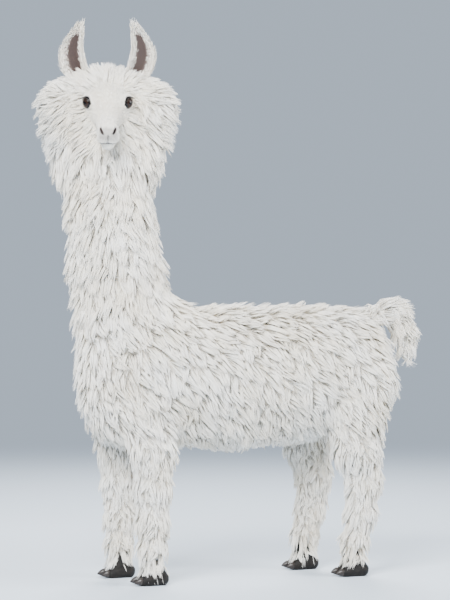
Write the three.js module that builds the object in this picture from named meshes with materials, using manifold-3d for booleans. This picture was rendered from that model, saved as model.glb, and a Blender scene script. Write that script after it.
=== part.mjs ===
// A life-size standing llama in full wool, as a museum shows one: a still model, white coated with
// dark toes. The animal faces -X, its left side is towards -Y, and its head is turned to its left.
// Every solid of flesh reaches to the tips of the coat. Millimetres, +Z up, floor at Z = 0.
import * as THREE from "three";
import { mergeVertices } from "three/addons/utils/BufferGeometryUtils.js";
import Module from "manifold-3d";

const wasm = await Module();
wasm.setup();

// ---------------------------------------------------------------- driving dimensions

const BACK_HEIGHT = 900; // top of the fleece over the loin
const BELLY_HEIGHT = 412; // lowest fleece under the barrel
const BARREL_WIDTH = 440;
const POLL_HEIGHT = 1562; // the joint behind the skull
const NECK_X = -446; // middle of the upright part of the neck
const HEAD_TURN = THREE.MathUtils.degToRad(73); // to the animal's left
const HEAD_DROP = THREE.MathUtils.degToRad(21); // muzzle below level
const TRACK = 114; // half the distance between left and right feet
const EYE_RADIUS = 24;
const EAR_LENGTH = 210;
const LEG_CUT_HEIGHT = 386;
const GAP = 0.4; // left between two neighbouring solids
const WIDE = 4000; // more than the whole animal

// Where each foot stands along X.
const FEET = {
  front_left: { x: -344, side: -1, front: true },
  front_right: { x: -383, side: 1, front: true },
  hind_left: { x: 351, side: -1, front: false },
  hind_right: { x: 265, side: 1, front: false },
};

// ---------------------------------------------------------------- materials

function finish(color, roughness) {
  return new THREE.MeshStandardMaterial({ color, roughness, metalness: 0 });
}

const fleece = finish(0xf1eee6, 0.9);
const darkSkin = finish(0x1d1a19, 0.75);
const nailHorn = finish(0x14110f, 0.45);
const eyeGloss = finish(0x0a0605, 0.08);

// ---------------------------------------------------------------- signed distance forms

// A form is a function (x, y, z) giving the distance to its surface, below zero inside.
function ellipsoid([cx, cy, cz], [rx, ry, rz]) {
  return (x, y, z) => {
    const [px, py, pz] = [x - cx, y - cy, z - cz];
    const near = Math.hypot(px / rx, py / ry, pz / rz);
    const steep = Math.hypot(px / (rx * rx), py / (ry * ry), pz / (rz * rz));
    return steep < 1e-9 ? -Math.min(rx, ry, rz) : (near * (near - 1)) / steep;
  };
}

// A limb segment from a to b whose radius goes from ra to rb. flat above 1 thins it across Y.
function limb([ax, ay, az], [bx, by, bz], ra, rb, flat = 1) {
  const [dx, dy, dz] = [bx - ax, by - ay, bz - az];
  const length2 = dx * dx + dy * dy + dz * dz;
  return (x, y, z) => {
    const t = THREE.MathUtils.clamp(
      ((x - ax) * dx + (y - ay) * dy + (z - az) * dz) / length2, 0, 1,
    );
    const [ex, ey, ez] = [x - ax - t * dx, (y - ay - t * dy) * flat, z - az - t * dz];
    return Math.hypot(ex, ey, ez) - (ra + (rb - ra) * t);
  };
}

// Several segments through points with a radius at each.
function chain(stations, flat = 1) {
  return stations
    .slice(1)
    .map(([b, rb], i) => limb(stations[i][0], b, stations[i][1], rb, flat));
}

function soften(a, b, reach) {
  const h = Math.max(reach - Math.abs(a - b), 0) / reach;
  return Math.min(a, b) - (h * h * reach) / 4;
}

// One form that flows from each of the forms into the next over the given reach.
function flow(forms, reach) {
  return (x, y, z) => {
    let d = forms[0](x, y, z);
    for (let i = 1; i < forms.length; i++) d = soften(d, forms[i](x, y, z), reach);
    return d;
  };
}

// A form kept on the low side of each cut, and some way beyond it, so that the rounded rim of a
// wrapped mesh is trimmed off with what runs past the cut.
function within(form, cuts) {
  return (x, y, z) => {
    let d = form(x, y, z);
    for (const { point, normal, beyond } of cuts) {
      const high =
        (x - point.x) * normal.x + (y - point.y) * normal.y + (z - point.z) * normal.z;
      d = Math.max(d, high - beyond);
    }
    return d;
  };
}

function cut(point, direction, beyond) {
  return {
    point: new THREE.Vector3(...point),
    normal: new THREE.Vector3(...direction).normalize(),
    beyond,
  };
}

// The same cut, seen from its other side.
function flipped({ point, normal, beyond }) {
  return { point, normal: normal.clone().negate(), beyond };
}

// ---------------------------------------------------------------- the head's own frame

// Head coordinates are f forward along the muzzle, l to the animal's left and u up.
const upright = new THREE.Vector3(0, 0, 1);
const sideways = new THREE.Vector3(0, 1, 0);
const headTurned = new THREE.Vector3(-Math.cos(HEAD_TURN), -Math.sin(HEAD_TURN), 0);
const headForward = headTurned
  .clone()
  .multiplyScalar(Math.cos(HEAD_DROP))
  .addScaledVector(upright, -Math.sin(HEAD_DROP));
const headLeft = new THREE.Vector3().crossVectors(upright, headTurned);
const headUp = new THREE.Vector3().crossVectors(headForward, headLeft);
const poll = new THREE.Vector3(NECK_X - 2, 34, POLL_HEIGHT);
const headFrame = new THREE.Matrix4()
  .makeBasis(headForward, headLeft, headUp)
  .setPosition(poll);

function fromHead(f, l, u) {
  return new THREE.Vector3(f, l, u).applyMatrix4(headFrame);
}

function inHead(form) {
  return (x, y, z) => {
    const [px, py, pz] = [x - poll.x, y - poll.y, z - poll.z];
    return form(
      px * headForward.x + py * headForward.y + pz * headForward.z,
      px * headLeft.x + py * headLeft.y + pz * headLeft.z,
      px * headUp.x + py * headUp.y + pz * headUp.z,
    );
  };
}

// Two like things, one on each side of a middle plane: 1 stands for the left or +Y side.
function bothSides(make) {
  return [make(1), make(-1)];
}

// ---------------------------------------------------------------- forms of the body

const barrelHalf = (BACK_HEIGHT - BELLY_HEIGHT) / 2;
const barrelMiddle = (BACK_HEIGHT + BELLY_HEIGHT) / 2;
const barrelFlat = (2 * barrelHalf) / BARREL_WIDTH;

// A station of the trunk is a place along X and a half depth, hung from the level back.
function trunkStation(x, half) {
  return [[x, 0, BACK_HEIGHT - 4 - half], half];
}

const barrelForms = chain(
  [
    trunkStation(-330, barrelHalf - 16),
    trunkStation(-40, barrelHalf - 2),
    trunkStation(190, barrelHalf - 12),
    trunkStation(332, barrelHalf - 40),
  ],
  barrelFlat,
);
// Between the forelegs.
const breastForm = ellipsoid([-408, 0, barrelMiddle - 70], [122, 134, 145]);

const neckForms = chain(
  [
    [[-344, 0, 735], 178],
    [[-406, 0, 880], 167],
    [[NECK_X + 12, 2, 1040], 157],
    [[NECK_X - 2, 8, 1205], 148],
    [[NECK_X - 6, 20, 1365], 147],
    [[NECK_X - 2, 32, 1512], 144],
  ],
  1.08,
);

const HIP_X = 394; // the fullest part of both thighs

// A foreleg hangs plumb from the elbow, a hind leg bends back at the hock.
function legStations({ x, side, front }) {
  const y = side * TRACK;
  return front
    ? [
        [[x - 22, y * 0.88, 565], 102],
        [[x - 2, y, 440], 80],
        [[x + 2, y, 315], 65],
        [[x + 2, y, 208], 58],
        [[x, y, 118], 52],
        [[x - 4, y, 74], 41],
      ]
    : [
        [[HIP_X, y * 0.92, 625], 118],
        [[0.4 * HIP_X + 0.6 * x - 12, y * 0.96, 530], 108],
        [[x + 14, y, 426], 86],
        [[x + 38, y, 318], 67],
        [[x + 28, y, 208], 59],
        [[x + 8, y, 118], 52],
        [[x + 2, y, 74], 41],
      ];
}

const TAIL_SPINE = [
  [[420, 0, 805], 58],
  [[482, -4, 860], 52],
  [[544, -8, 858], 50],
  [[577, -12, 806], 44],
  [[585, -14, 748], 32],
  [[583, -14, 714], 16],
];
const tailForms = chain(TAIL_SPINE);

const legForms = Object.values(FEET).flatMap((foot) => chain(legStations(foot)));

// ---------------------------------------------------------------- forms of the head

const skullForms = [
  ellipsoid([62, 0, 22], [78, 60, 56]), // brain case
  ellipsoid([112, 0, 34], [54, 50, 40]), // forehead
  limb([118, 0, 20], [240, 0, -11], 43, 25, 1.05), // bridge of the nose
  limb([128, 0, -8], [250, 0, -27], 47, 27, 1.02), // upper jaw
  limb([64, 0, -50], [236, 0, -62], 38, 17), // lower jaw
  ellipsoid([262, 0, -21], [35, 31, 29]), // nose
  ellipsoid([284, 0, -17], [16, 20, 16]), // nose tip
  ellipsoid([250, 0, -66], [27, 20, 16]), // chin
  ...bothSides((s) => ellipsoid([120, s * 45.5, 28], [31.5, 27.5, 24.5])), // eye sockets' rims
  ...bothSides((s) => ellipsoid([90, s * 38, -26], [56, 28, 43])), // chewing muscles
  ...bothSides((s) => ellipsoid([267, s * 13, -40], [28, 20, 20])), // upper lip
];
const FACE_BROAD = 1.12; // width over that of a lean skull
const FACE_DEEP = 1.07;

const headFleeceForms = [
  ...bothSides((s) => limb([18, s * 130, -22], [66, s * 76, -196], 98, 112)), // cheek ruff
  ellipsoid([40, 0, 60], [62, 110, 47]), // topknot
  ellipsoid([34, 0, -92], [74, 100, 84]), // throat
  ellipsoid([-30, 0, -6], [64, 168, 102]), // back of the head
];

const headForm = inHead(
  (() => {
    const skull = flow(skullForms, 16);
    const ruff = flow(headFleeceForms, 40);
    return (f, l, u) =>
      soften(skull(f, l / FACE_BROAD, u / FACE_DEEP), ruff(f, l, u), 44);
  })(),
);

const barrelForm = flow(barrelForms, 16);
const neckForm = flow(neckForms, 12);
const legForm = flow(legForms, 24);
const tailForm = flow(tailForms, 24);

function bodyForm(x, y, z) {
  let d = soften(barrelForm(x, y, z), breastForm(x, y, z), 70);
  d = soften(d, neckForm(x, y, z), 110);
  d = soften(d, legForm(x, y, z), 50);
  d = soften(d, tailForm(x, y, z), 40);
  return soften(d, headForm(x, y, z), 40);
}

// ---------------------------------------------------------------- wrapping a form with a mesh

// How far it is from a point inside a form to its surface, in one direction.
function surfaceDistance(form, from, toward, farthest) {
  const at = (r) =>
    form(from.x + toward.x * r, from.y + toward.y * r, from.z + toward.z * r);
  let inside = 0;
  let r = 0;
  while (r < farthest) {
    const d = at(r);
    if (d > 0) break;
    inside = r;
    r += Math.max(-d * 0.6, 1.5);
  }
  let outside = r;
  for (let i = 0; i < 26; i++) {
    const middle = (inside + outside) / 2;
    if (at(middle) > 0) outside = middle;
    else inside = middle;
  }
  return (inside + outside) / 2;
}

// Reaches of the points of a capsule's rings, each brought nearer by its share to those round it.
function evened(reaches, shares, across, passes) {
  const rows = reaches.length / across;
  const at = (row, col) => reaches[row * across + ((col + across - 1) % (across - 1))];
  for (let pass = 0; pass < passes; pass++)
    reaches = reaches.map((own, i) => {
      const [row, col] = [Math.floor(i / across), i % across];
      if (row < 2 || row > rows - 3) return own;
      const round = at(row, col - 1) + at(row, col + 1) + at(row - 1, col) + at(row + 1, col);
      return own + shares[i] * (round / 8 - own / 2);
    });
  return reaches;
}

// A capsule of rings along the spine, each point moved out from the spine to the form's surface.
function wrap(
  form,
  spine,
  { around, along, cap, side = upright, grow = 0, lean = () => 0, even = () => 0 },
) {
  const grown = grow ? (x, y, z) => form(x, y, z) - grow : form;
  const curve = new THREE.CatmullRomCurve3(spine.map((p) => new THREE.Vector3(...p)));
  const capsule = new THREE.CapsuleGeometry(1, 2, cap, around, along);
  const place = capsule.attributes.position;
  const casts = [];
  for (let i = 0; i < place.count; i++) {
    const height = place.getY(i);
    const t = THREE.MathUtils.clamp((height + 1) / 2, 0, 1);
    const middle = curve.getPoint(t);
    const tangent = curve.getTangent(t);
    const across = new THREE.Vector3().crossVectors(side, tangent).normalize();
    const other = new THREE.Vector3().crossVectors(tangent, across);
    const beyond = height - THREE.MathUtils.clamp(height, -1, 1);
    const toward = new THREE.Vector3()
      .addScaledVector(other, place.getX(i))
      .addScaledVector(across, place.getZ(i))
      .addScaledVector(tangent, beyond);
    const share = even(t, toward.z);
    if (!beyond) toward.addScaledVector(tangent, Math.tan(lean(t, toward.z)));
    toward.normalize();
    const far = surfaceDistance(grown, middle, toward, WIDE);
    casts.push({ middle, toward, far, share });
  }
  const reaches = evened(
    casts.map(({ far }) => far),
    casts.map(({ share }) => share),
    around + 1,
    5,
  );
  casts.forEach(({ middle, toward }, i) => {
    const { x, y, z } = middle.addScaledVector(toward, reaches[i]);
    place.setXYZ(i, x, y, z);
  });
  return capsule;
}

// ---------------------------------------------------------------- joining and cutting

function manifoldOf(vertProperties, triVerts) {
  return new wasm.Manifold(new wasm.Mesh({ numProp: 3, vertProperties, triVerts }));
}

// A closed geometry as a solid. Faces that all point in are turned out.
function solid(geometry) {
  const bare = geometry.clone();
  for (const name of Object.keys(bare.attributes))
    if (name !== "position") bare.deleteAttribute(name);
  const merged = mergeVertices(bare, 1e-3);
  const places = merged.attributes.position.array;
  const faces = new Uint32Array(merged.index.array);
  const made = manifoldOf(places, faces);
  if (made.volume() > 0) return made;
  for (let i = 0; i < faces.length; i += 3)
    [faces[i + 1], faces[i + 2]] = [faces[i + 2], faces[i + 1]];
  return manifoldOf(places, faces);
}

// The part of a solid on the low side of each cut, half a gap short of it.
function trimmed(body, cuts) {
  for (const { point, normal } of cuts) {
    const block = new THREE.BoxGeometry(WIDE, WIDE, WIDE)
      .translate(0, 0, WIDE / 2 - GAP / 2)
      .applyQuaternion(new THREE.Quaternion().setFromUnitVectors(upright, normal))
      .translate(point.x, point.y, point.z);
    body = body.subtract(solid(block));
  }
  return body;
}

function meshOf(name, body, material) {
  const made = body.getMesh();
  const geometry = new THREE.BufferGeometry();
  const places = new Float32Array(made.numVert * 3);
  for (let i = 0; i < made.numVert; i++)
    for (let k = 0; k < 3; k++)
      places[3 * i + k] = made.vertProperties[made.numProp * i + k];
  geometry.setAttribute("position", new THREE.BufferAttribute(places, 3));
  geometry.setIndex(new THREE.BufferAttribute(made.triVerts, 1));
  geometry.computeVertexNormals();
  const mesh = new THREE.Mesh(geometry, material);
  mesh.name = name;
  return mesh;
}

// ---------------------------------------------------------------- where the body is parted

const neckBase = cut([NECK_X, 0, 880], [-0.36, 0, 0.93], 90);
const neckTop = cut(
  [NECK_X - 2, 30, 1460],
  upright.clone().addScaledVector(headTurned, 0.62).toArray(),
  70,
);
const tailBase = cut([488, 0, 850], [0.86, 0, 0.5], 25);
const legTop = cut([0, 0, LEG_CUT_HEIGHT], [0, 0, 1], 50);
const trunkBottom = cut([0, 0, LEG_CUT_HEIGHT], [0, 0, -1], 20);

// ---------------------------------------------------------------- trunk, neck and tail

const llama = new THREE.Group();

function addFlesh(name, form, cuts, spine, mesh, less = []) {
  let body = solid(wrap(within(form, cuts), spine, mesh));
  body = trimmed(body, cuts);
  for (const other of less) body = body.subtract(other);
  llama.add(meshOf(name, body, fleece));
  return body;
}

addFlesh(
  "trunk",
  bodyForm,
  [neckBase, tailBase, trunkBottom],
  [
    [-395, 0, 680],
    [-200, 0, 672],
    [60, 0, 668],
    [396, 0, 692],
  ],
  { around: 26, along: 14, cap: 4 },
);

addFlesh(
  "neck",
  bodyForm,
  [flipped(neckBase), neckTop],
  [
    [-425, 0, 888],
    [NECK_X + 8, 3, 1040],
    [NECK_X - 2, 8, 1215],
    [NECK_X - 4, 26, 1435],
  ],
  { around: 22, along: 13, cap: 5, side: sideways },
);

addFlesh(
  "tail",
  bodyForm,
  [flipped(tailBase)],
  TAIL_SPINE.slice(1, 5).map(([p]) => p),
  { around: 10, along: 7, cap: 2, side: sideways },
);

// ---------------------------------------------------------------- legs and feet

const FOOT_TOP = 62; // where the wool of the leg ends and the dark foot begins
const TOE_SPREAD = 21; // from the foot's middle to the middle of a toe's tip
const NAIL_LENGTH = 23; // half of it, as most of a nail's root is hidden in the toe
const NAIL_HALF = 11;

function footForms({ x, side }) {
  const y = side * TRACK;
  return bothSides((s) =>
    flow(
      [
        limb([x + 24, y + s * 15, 21], [x - 34, y + s * TOE_SPREAD, 12], 26, 17),
        limb([x + 8, y + s * 11, 54], [x - 22, y + s * TOE_SPREAD, 20], 25, 17),
      ],
      14,
    ),
  );
}

function nailGeometry(length, half) {
  const nail = new THREE.SphereGeometry(1, 7, 5);
  const place = nail.attributes.position;
  for (let i = 0; i < place.count; i++) {
    const along = place.getX(i);
    const narrow = 1 - 0.55 * Math.max(along, 0) ** 1.5;
    place.setXYZ(
      i,
      -length * along,
      half * narrow * place.getY(i),
      half * 1.15 * narrow * place.getZ(i) - 4 * along * along,
    );
  }
  return nail;
}

for (const [name, foot] of Object.entries(FEET)) {
  const { x, side } = foot;
  const y = side * TRACK;
  const toes = footForms(foot);
  const stations = legStations(foot);
  const footTop = cut([x, y, FOOT_TOP], [0.12, 0, 1], 14);
  const legAndFoot = (px, py, pz) =>
    soften(bodyForm(px, py, pz), Math.min(toes[0](px, py, pz), toes[1](px, py, pz)), 16);
  const legSpine = stations.slice(foot.front ? 1 : 2).map(([p]) => p);
  const legBottom = { ...flipped(footTop), beyond: 45 };
  addFlesh(`leg_${name}`, legAndFoot, [legTop, legBottom], legSpine, {
    around: 12,
    along: 9,
    cap: 2,
    side: sideways,
  });
  const middle = cut([x, y, 0], [0, 1, 0], 6);
  bothSides((s) => {
    const which = s === side ? "outer" : "inner";
    const toeY = y + s * TOE_SPREAD;
    const nailPlace = new THREE.Matrix4().makeTranslation(x - 46, toeY + s * 2, 14.5);
    const nail = solid(nailGeometry(NAIL_LENGTH, NAIL_HALF).applyMatrix4(nailPlace));
    const bed = solid(
      nailGeometry(NAIL_LENGTH + GAP, NAIL_HALF + GAP).applyMatrix4(nailPlace),
    );
    const floor = cut([0, 0, 0], [0, 0, -1], 6);
    const toeCuts = [footTop, s > 0 ? flipped(middle) : middle];
    const form = within(legAndFoot, [...toeCuts, floor]);
    const wrapped = wrap(
      form,
      [
        [x + 22, y + s * 16, 26],
        [x - 30, y + s * TOE_SPREAD, 17],
      ],
      { around: 9, along: 3, cap: 2 },
    );
    const ground = solid(new THREE.BoxGeometry(400, 400, 100).translate(x, y, -50));
    const toe = trimmed(solid(wrapped), toeCuts).subtract(ground).subtract(bed);
    llama.add(meshOf(`toe_${name}_${which}`, toe, darkSkin));
    llama.add(meshOf(`nail_${name}_${which}`, nail, nailHorn));
  });
}

// ---------------------------------------------------------------- head, eyes and ears

const EYE = [121, 57, 29]; // the left eyeball's centre, in head coordinates
const eyeAxis = (s) => new THREE.Vector3(0.64, s * 0.76, 0.1).normalize();

// A ball or ellipsoid in head coordinates, with its first radius along the axis.
function ball(radii, centre, axis) {
  return new THREE.SphereGeometry(1, 14, 8)
    .scale(...radii)
    .applyQuaternion(
      new THREE.Quaternion().setFromUnitVectors(new THREE.Vector3(1, 0, 0), axis),
    )
    .translate(...centre)
    .applyMatrix4(headFrame);
}

// Each eye has a socket, and the lids part in front of it in an oval opening.
const hollows = bothSides((s) => {
  const [f, l, u] = EYE;
  const out = eyeAxis(s);
  const r = EYE_RADIUS + GAP;
  const opening = [f + out.x * 21, s * l + out.y * 21, u + out.z * 21];
  return solid(ball([r, r, r], [f, s * l, u], out)).add(
    solid(ball([12, 22, 17], opening, out)),
  );
});

const nostrils = bothSides((s) =>
  solid(
    new THREE.SphereGeometry(1, 8, 5)
      .scale(12, 3.2, 11)
      .rotateX(-s * 0.85)
      .translate(291, s * 20, -12)
      .applyMatrix4(headFrame),
  ),
);

// The mouth runs level round the front of the muzzle and turns up at its corners.
const MOUTH_BACK = 205;
const MOUTH_STEPS = 8;
const MOUTH_GROOVE = 5;
const MOUTH_DROP = 48; // of the mouth line below the head's axis

function mouthPoint(k) {
  const turn = (k / MOUTH_STEPS) * Math.PI * 0.5; // 0 at the middle of the lip
  const from = fromHead(MOUTH_BACK + 45 * Math.cos(turn) ** 2, 0, -MOUTH_DROP);
  const lift = 6 * (1 - Math.cos(turn)) - 9;
  const toward = headForward
    .clone()
    .multiplyScalar(Math.cos(turn))
    .addScaledVector(headLeft, Math.sin(turn))
    .addScaledVector(headUp, lift / 60)
    .normalize();
  const far = surfaceDistance(headForm, from, toward, 200);
  return from.addScaledVector(toward, far);
}
const leftHalf = Array.from({ length: MOUTH_STEPS + 1 }, (_, k) => mouthPoint(k));
const mirrored = leftHalf.slice(1).map((p) => {
  const across = p.clone().sub(poll).dot(headLeft);
  return p.clone().addScaledVector(headLeft, -2 * across);
});
const mouthLine = new THREE.CatmullRomCurve3([...mirrored.reverse(), ...leftHalf]);
const grooveSection = new THREE.Shape([
  new THREE.Vector2(MOUTH_GROOVE, 0),
  new THREE.Vector2(0, MOUTH_GROOVE),
  new THREE.Vector2(-MOUTH_GROOVE, 0),
  new THREE.Vector2(0, -MOUTH_GROOVE),
]);
const mouth = solid(
  new THREE.ExtrudeGeometry(grooveSection, { steps: 20, extrudePath: mouthLine }),
);
const lipCleft = solid(
  new THREE.SphereGeometry(1, 6, 5)
    .scale(7, 1.8, 15)
    .translate(301, 0, -40)
    .applyMatrix4(headFrame),
);

const headSpine = [
  [2, 0, -6],
  [80, 0, -4],
  [150, 0, -14],
  [232, 0, -32],
].map((p) => fromHead(...p).toArray());
// Between cheeks and eyes the rings lean forward and meet the front of the ruff.
const headMesh = {
  around: 26,
  along: 22,
  cap: 5,
  even: (t, rise) => {
    const under = 0.2 * THREE.MathUtils.smoothstep(-rise, 0, 0.5);
    return 1 - THREE.MathUtils.smoothstep(t, 0.28 + under, 0.42 + under);
  },
  lean: (t, rise) =>
    0.42 *
    Math.exp(-(((t - 0.3) / 0.24) ** 2)) *
    (0.75 + 0.25 * THREE.MathUtils.smoothstep(rise, -0.5, 0.3)),
};
addFlesh("head", bodyForm, [flipped(neckTop)], headSpine, headMesh, [
  ...hollows,
  ...nostrils,
  mouth,
  lipCleft,
]);
const headGrown = solid(
  wrap(within(bodyForm, [flipped(neckTop)]), headSpine, { ...headMesh, grow: GAP }),
);

bothSides((s) => {
  const [f, l, u] = EYE;
  const r = EYE_RADIUS;
  const eye = solid(ball([r, r, r], [f, s * l, u], eyeAxis(s)));
  llama.add(meshOf(s > 0 ? "eye_left" : "eye_right", eye, eyeGloss));
});

// An ear is a banana-shaped leaf, cupped in front, whose tip leans in over the crown.
const EAR_HALF_WIDTH = 45;
const EAR_CUP = 30; // depth of the cup at its root

function earGeometry(s) {
  const leaf = new THREE.CylinderGeometry(1, 1, 1, 14, 9);
  const place = leaf.attributes.position;
  for (let i = 0; i < place.count; i++) {
    const t = place.getY(i) + 0.5;
    const [across, back] = [place.getX(i), place.getZ(i)];
    const wide = EAR_HALF_WIDTH * Math.sin(Math.PI * (0.18 + 0.8 * t)) ** 0.75;
    const bow = 30 * Math.sin(Math.PI * 1.05 * t) - 44 * Math.max(t - 0.55, 0) ** 1.3;
    const depth = EAR_CUP * (1 - 0.62 * t);
    const cupped = THREE.MathUtils.clamp(7 * t - 1, -0.7, 0.62);
    const behind = back > 0 ? depth * back : -depth * cupped * back;
    place.setXYZ(i, wide * across + s * bow, -behind, EAR_LENGTH * t);
  }
  return leaf;
}

bothSides((s) => {
  const stand = new THREE.Matrix4()
    .makeRotationZ(s * 0.45 - Math.PI / 2)
    .premultiply(new THREE.Matrix4().makeRotationX(-s * 0.13))
    .premultiply(new THREE.Matrix4().makeRotationY(-0.27))
    .setPosition(24, s * 76, 48);
  const ear = solid(earGeometry(-s).applyMatrix4(stand).applyMatrix4(headFrame));
  llama.add(meshOf(s > 0 ? "ear_left" : "ear_right", ear.subtract(headGrown), fleece));
});

// ---------------------------------------------------------------- origin

// The origin is on the floor below the middle of the whole animal.
llama.updateMatrixWorld(true);
const reach = new THREE.Box3().setFromObject(llama, true);
const middleOfReach = reach.getCenter(new THREE.Vector3());
llama.position.set(-middleOfReach.x, -middleOfReach.y, -reach.min.z);

export default llama;
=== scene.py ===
import math

import bpy
import numpy as np
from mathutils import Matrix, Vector, kdtree


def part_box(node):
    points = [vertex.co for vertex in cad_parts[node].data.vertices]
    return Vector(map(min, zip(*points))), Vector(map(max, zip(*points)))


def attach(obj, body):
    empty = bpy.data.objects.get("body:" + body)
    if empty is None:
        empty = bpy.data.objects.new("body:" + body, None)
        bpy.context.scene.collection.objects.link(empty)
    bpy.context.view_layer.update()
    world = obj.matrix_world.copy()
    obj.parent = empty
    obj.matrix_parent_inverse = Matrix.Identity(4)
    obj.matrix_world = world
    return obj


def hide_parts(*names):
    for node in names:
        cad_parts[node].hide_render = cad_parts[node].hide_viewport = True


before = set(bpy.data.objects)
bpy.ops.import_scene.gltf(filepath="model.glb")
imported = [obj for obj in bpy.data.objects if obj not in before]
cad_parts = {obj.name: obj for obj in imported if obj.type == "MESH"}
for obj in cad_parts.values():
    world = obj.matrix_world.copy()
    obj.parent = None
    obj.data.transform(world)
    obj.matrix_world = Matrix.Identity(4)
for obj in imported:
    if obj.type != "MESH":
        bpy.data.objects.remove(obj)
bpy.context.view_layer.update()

rng = np.random.default_rng(41)

# -------------------- the llama's outline
# A grown llama in full wool. The solids of the frame reach to the tips of its coat. The same
# rounded forms are worked out again here as distances in millimetres, so that the skin can lie
# the coat's depth below them and every lock of wool can end on them.

HEAD_DROP = math.radians(21)  # muzzle below level
NECK_X = -446  # middle of the upright neck
POLL = np.array([NECK_X - 2, 34, 1562])  # where head coordinates start, between the ears' roots
EYE = np.array([121, 57, 29])  # the left eye in head coordinates: forward, left, up
LEFT_AND_RIGHT = ((1, "left"), (-1, "right"))

eye_middles = [sum(map(np.array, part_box(f"eye_{name}"))) / 2 for _, name in LEFT_AND_RIGHT]
EYE_RADIUS = 1000 * (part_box("eye_left")[1][2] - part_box("eye_left")[0][2]) / 2
UP = np.array([0.0, 0.0, 1.0])
head_left = (eye_middles[0] - eye_middles[1]) / np.linalg.norm(eye_middles[0] - eye_middles[1])
head_turned = np.cross(head_left, UP)
head_forward = head_turned * math.cos(HEAD_DROP) - UP * math.sin(HEAD_DROP)
head_up = np.cross(head_forward, head_left)
head_axes = np.array([head_forward, head_left, head_up])
between_eyes = POLL + EYE[0] * head_forward + EYE[2] * head_up
shift = 500 * (eye_middles[0] + eye_middles[1]) - between_eyes  # from these forms to the frame


def metres(points):
    return (np.asarray(points) + shift) / 1000


def millimetres(points):
    return np.asarray(points) * 1000 - shift


def in_head(x, y, z):
    px, py, pz = x - POLL[0], y - POLL[1], z - POLL[2]
    return tuple(px * a[0] + py * a[1] + pz * a[2] for a in head_axes)


def from_head(places):
    return np.asarray(places) @ head_axes + POLL


def ellipsoid(p, centre, radii):
    """About how far p is outside an ellipsoid. p holds three arrays of coordinates."""
    q = [a - c for a, c in zip(p, centre)]
    near = np.sqrt(sum((a / r) ** 2 for a, r in zip(q, radii)))
    steep = np.sqrt(sum((a / r**2) ** 2 for a, r in zip(q, radii)))
    return near * (near - 1) / np.maximum(steep, 1e-6)


def limb(p, a, b, radius_a, radius_b, flat=1.0):
    """How far p is outside a rounded limb from a to b, over 1 flat makes it narrower across."""
    along = [t - s for s, t in zip(a, b)]
    t = sum((q - s) * d for q, s, d in zip(p, a, along)) / sum(d * d for d in along)
    t = np.clip(t, 0, 1)
    q = [q - s - t * d for q, s, d in zip(p, a, along)]
    q[1] = q[1] * flat
    return np.sqrt(sum(c * c for c in q)) - (radius_a + (radius_b - radius_a) * t)


def chain(p, stations, flat=1.0):
    """Limbs from each station, a place and its radius, to the next."""
    return [limb(p, a, b, ra, rb, flat) for (a, ra), (b, rb) in zip(stations, stations[1:])]


def soften(a, b, reach):
    """Two forms as one, with a hollow fillet where they are less than reach apart."""
    h = np.maximum(reach - np.abs(a - b), 0) / reach
    return np.minimum(a, b) - h * h * reach / 4


def flow(reach, *forms):
    d = forms[0]
    for form in forms[1:]:
        d = soften(d, form, reach)
    return d


BACK_HEIGHT = 900  # with the fleece, as all sizes here
BELLY_HEIGHT = 412
BARREL_WIDTH = 440
barrel_half = (BACK_HEIGHT - BELLY_HEIGHT) / 2
TRUNK = [
    ((x, 0, BACK_HEIGHT - 4 - barrel_half + less), barrel_half - less)
    for x, less in ((-330, 16), (-40, 2), (190, 12), (332, 40))
]
BREAST = ((-408, 0, (BACK_HEIGHT + BELLY_HEIGHT) / 2 - 70), (122, 134, 145))
NECK = [
    ((-344, 0, 735), 178),
    ((-406, 0, 880), 167),
    ((NECK_X + 12, 2, 1040), 157),
    ((NECK_X - 2, 8, 1205), 148),
    ((NECK_X - 6, 20, 1365), 147),
    ((NECK_X - 2, 32, 1512), 144),
]
NECK_FLAT = 1.08  # depth over width
TAIL = [  # from its root over the arch to its tip
    ((420, 0, 805), 58),
    ((482, -4, 860), 52),
    ((544, -8, 858), 50),
    ((577, -12, 806), 44),
    ((585, -14, 748), 32),
    ((583, -14, 714), 16),
]
TRACK = 114  # half the distance between left and right feet
HIP_X = 394  # the fullest part of both thighs
FEET = {  # where each stands along X, on which side, and whether it is a forefoot
    "front_left": (-344, -1, True),
    "front_right": (-383, 1, True),
    "hind_left": (351, -1, False),
    "hind_right": (265, 1, False),
}


def leg_stations(x, side, front):
    """A leg from shoulder or thigh to fetlock."""
    y = side * TRACK
    if front:
        return [
            ((x - 22, y * 0.88, 565), 102),
            ((x - 2, y, 440), 80),
            ((x + 2, y, 315), 65),
            ((x + 2, y, 208), 58),
            ((x, y, 118), 52),
            ((x - 4, y, 74), 41),
        ]
    return [
        ((HIP_X, y * 0.92, 625), 118),
        ((0.4 * HIP_X + 0.6 * x - 12, y * 0.96, 530), 108),
        ((x + 14, y, 426), 86),
        ((x + 38, y, 318), 67),
        ((x + 28, y, 208), 59),
        ((x + 8, y, 118), 52),
        ((x + 2, y, 74), 41),
    ]


def legs_outline(p):
    return flow(24, *[form for foot in FEET.values() for form in chain(p, leg_stations(*foot))])


def body_outline(p):
    barrel = flow(16, *chain(p, TRUNK, 2 * barrel_half / BARREL_WIDTH))
    trunk = soften(barrel, ellipsoid(p, *BREAST), 70)
    d = soften(trunk, flow(12, *chain(p, NECK, NECK_FLAT)), 110)
    d = soften(d, legs_outline(p), 50)
    return soften(d, flow(24, *chain(p, TAIL)), 40)


FACE_BROAD = 1.12  # width over that of a lean skull
FACE_DEEP = 1.07  # and height


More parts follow.
